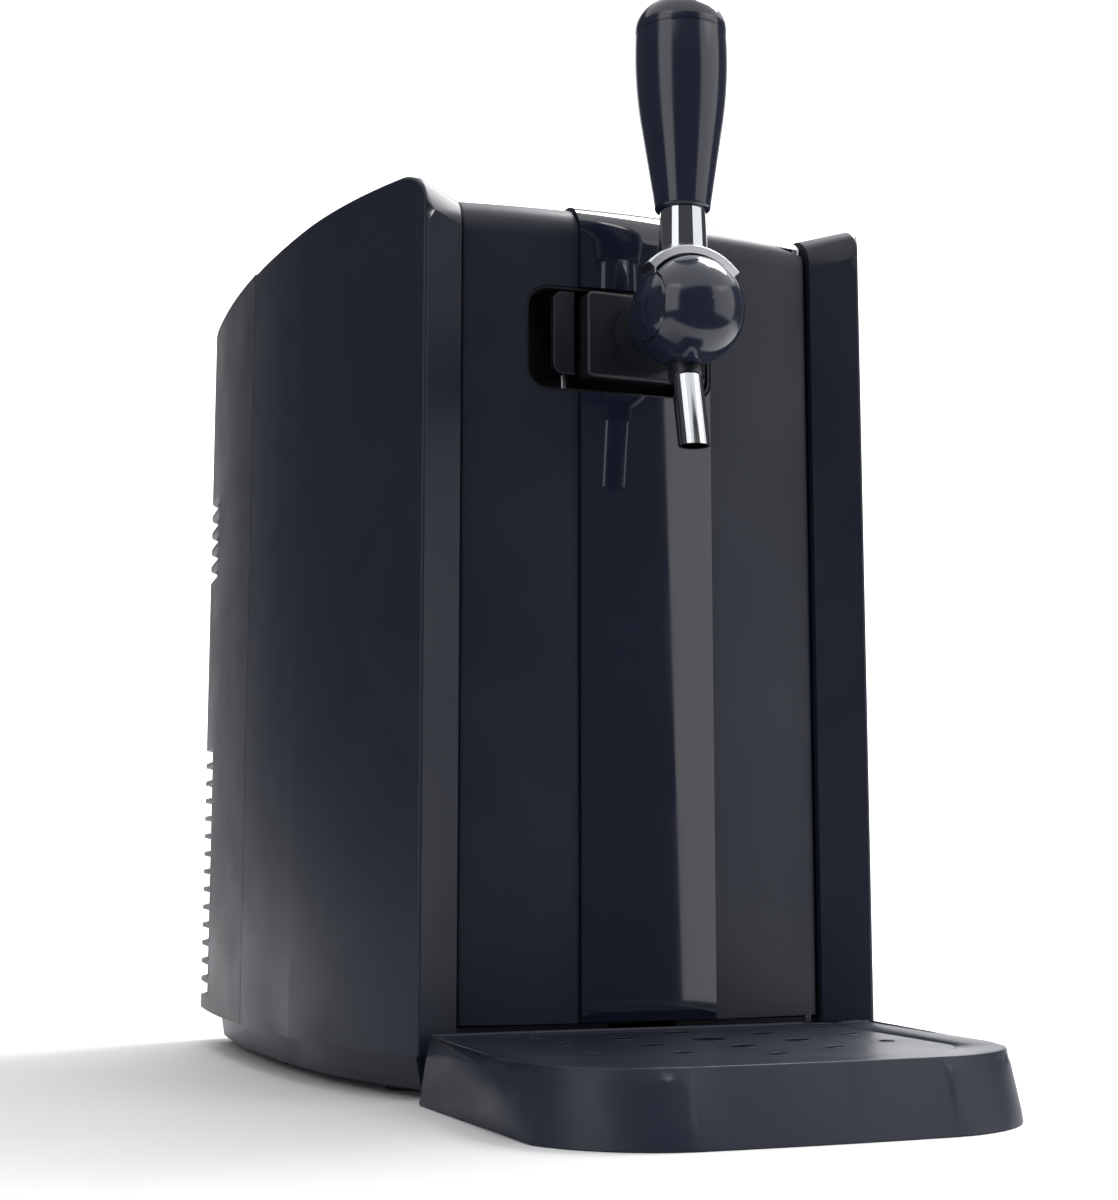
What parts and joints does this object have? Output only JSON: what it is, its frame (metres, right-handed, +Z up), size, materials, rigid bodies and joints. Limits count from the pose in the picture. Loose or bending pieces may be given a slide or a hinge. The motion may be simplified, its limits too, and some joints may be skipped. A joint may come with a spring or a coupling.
{
  "type": "keg beer dispenser",
  "caption": "Counter-top keg beer dispenser: bowed front door with a ball tap, upright handle and release lever, louvred rear cover, and a drip tray with a perforated grid.",
  "frame": {"origin": "middle of the footprint's bounding box, at table height", "axes": "+X right as seen from the front, +Y from the front to the back, +Z up"},
  "size_m": [0.3, 0.516, 0.4933],
  "materials": {
    "shell_plastic": "fine matte texture",
    "cover_plastic": "fine matte texture",
    "gloss_trim": "high gloss",
    "black_plastic": "satin",
    "liner_plastic": "satin",
    "foam": "closed-cell foam",
    "rubber": "matte",
    "chrome": "polished",
    "silver": "satin",
    "steel": "satin",
    "aluminium": "machined",
    "ceramic": "unglazed ceramic",
    "board": "solder mask",
    "pump": "satin",
    "screen": "fine mesh",
    "tube": "clear hose"
  },
  "bodies": {
    "cabinet": {"base_plinth": "shell_plastic", "rubber_feet": "rubber", "side_shell_right": "shell_plastic", "side_shell_left": "shell_plastic", "roof_panel": "shell_plastic", "rear_cover": "cover_plastic", "dust_screen": "screen", "cover_screws": "steel", "power_inlet": "black_plastic", "switch_housing": "black_plastic", "front_sill": "shell_plastic", "front_frame": "black_plastic", "strike_plate": "steel", "bay_liner": "liner_plastic", "insulation_jacket": "foam", "keg_cradle": "liner_plastic", "cold_plate": "aluminium", "peltier_module": "ceramic", "heat_sink": "aluminium", "fan_frame": "black_plastic", "fan_screws": "steel", "control_board": "board", "air_pump": "pump", "hinge_bracket": "steel", "hinge_pin_upper": "steel", "hinge_pin_lower": "steel"},
    "door": {"door_panel": "shell_plastic", "centre_strip": "gloss_trim", "door_liner": "liner_plastic", "door_seal": "rubber", "pocket_liner": "black_plastic", "latch_pin": "steel", "tap_carrier": "black_plastic", "tap_neck": "black_plastic", "tap_body": "gloss_trim", "tap_side_cap_right": "gloss_trim", "tap_side_cap_left": "gloss_trim", "spout": "chrome", "spout_collar": "gloss_trim", "beer_tube": "tube", "keg_connector": "black_plastic", "valve_spring": "steel"},
    "release_lever": {"latch_lever": "black_plastic"},
    "latch_slider": {"magnet_slider": "black_plastic", "latch_magnet": "steel"},
    "tap_handle": {"saddle_yoke": "silver", "pivot_shaft": "steel", "handle_stud": "steel", "handle_ferrule": "chrome", "handle_grip": "gloss_trim", "handle_cap": "gloss_trim"},
    "valve": {"valve_spool": "steel"},
    "fan": {"fan_rotor": "black_plastic"},
    "rocker": {"power_rocker": "black_plastic"},
    "tray": {"drip_tray": "shell_plastic", "tray_pads": "rubber"},
    "grid": {"drip_grid": "shell_plastic"}
  },
  "joints": [
    {"name": "door_hinge", "type": "hinge", "parent": "cabinet", "child": "door", "pos_m": [0.085, -0.0605, 0.2], "axis": [0, 0, 1], "range_deg": [0, 83]},
    {"name": "release_lever_turn", "type": "hinge", "parent": "door", "child": "release_lever", "pos_m": [-0.0372, -0.06, 0.345], "axis": [0, 0, 1], "range_deg": [0, 18], "stiffness_Nm_per_rad": 0.05},
    {"name": "latch_slide", "type": "slide", "parent": "door", "child": "latch_slider", "axis": [-1, 0, 0], "range_m": [0, 0.005]},
    {"name": "tap_handle_tilt", "type": "hinge", "parent": "door", "child": "tap_handle", "pos_m": [0, -0.1215, 0.345], "axis": [1, 0, 0], "range_deg": [0, 50]},
    {"name": "valve_slide", "type": "slide", "parent": "door", "child": "valve", "axis": [0, 0, -1], "range_m": [0, 0.0027], "deforming": ["valve_spring"]},
    {"name": "fan_spin", "type": "hinge", "parent": "cabinet", "child": "fan", "pos_m": [0, 0.206, 0.18], "axis": [0, 1, 0], "continuous": true},
    {"name": "power_rocker_tilt", "type": "hinge", "parent": "cabinet", "child": "rocker", "pos_m": [-0.044, 0.25, 0.213], "axis": [-1, 0, 0], "range_deg": [0, 14]},
    {"name": "tray_slide", "type": "slide", "parent": "cabinet", "child": "tray", "axis": [0, -1, 0], "range_m": [0, 0.2]},
    {"name": "grid_lift", "type": "slide", "parent": "tray", "child": "grid", "axis": [0, 0, 1], "range_m": [0, 0.03]}
  ],
  "couplings": [
    {"joint": "latch_slide", "follows": "release_lever_turn", "m_per_rad": 0.01464},
    {"joint": "valve_slide", "follows": "tap_handle_tilt", "m_per_rad": 0.00298}
  ]
}
